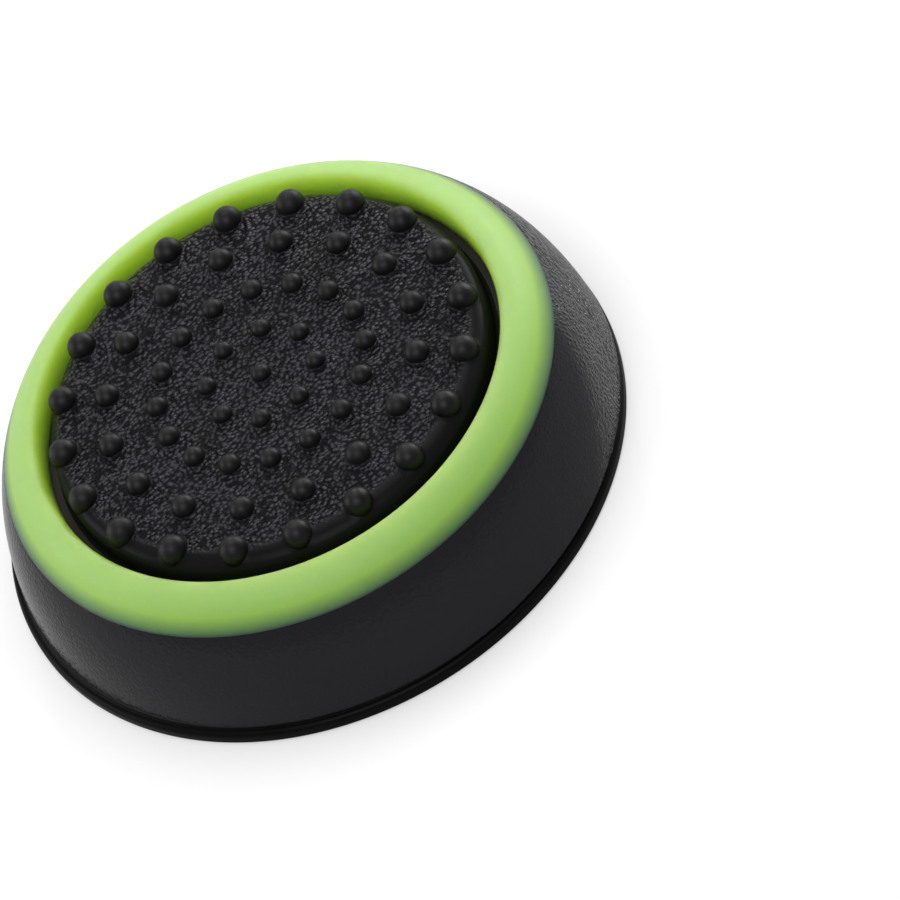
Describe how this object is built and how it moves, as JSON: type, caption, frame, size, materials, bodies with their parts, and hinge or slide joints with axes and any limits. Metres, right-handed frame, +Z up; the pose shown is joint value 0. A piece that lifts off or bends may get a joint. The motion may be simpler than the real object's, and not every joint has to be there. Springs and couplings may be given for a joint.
{
  "type": "controller thumb grip",
  "caption": "Round flared thumbstick cap in soft rubber, with a studded pad sunk inside a raised coloured ring and an open cavity with a retaining lip underneath.",
  "frame": {"origin": "centre of the rim's flat resting face, on the grip's axis", "axes": "+Z up along the axis, from the mouth to the studded pad; +X and +Y are level"},
  "size_m": [0.0232, 0.0232, 0.0062],
  "materials": {
    "black_silicone": "satin black silicone, fine pebbled grain on the pad and a soft grain on the skirt",
    "green_silicone": "smooth matt lime-green silicone, slightly translucent"
  },
  "bodies": {
    "root": {"grip_cap": "black_silicone", "colour_ring": "green_silicone"}
  },
  "joints": []
}
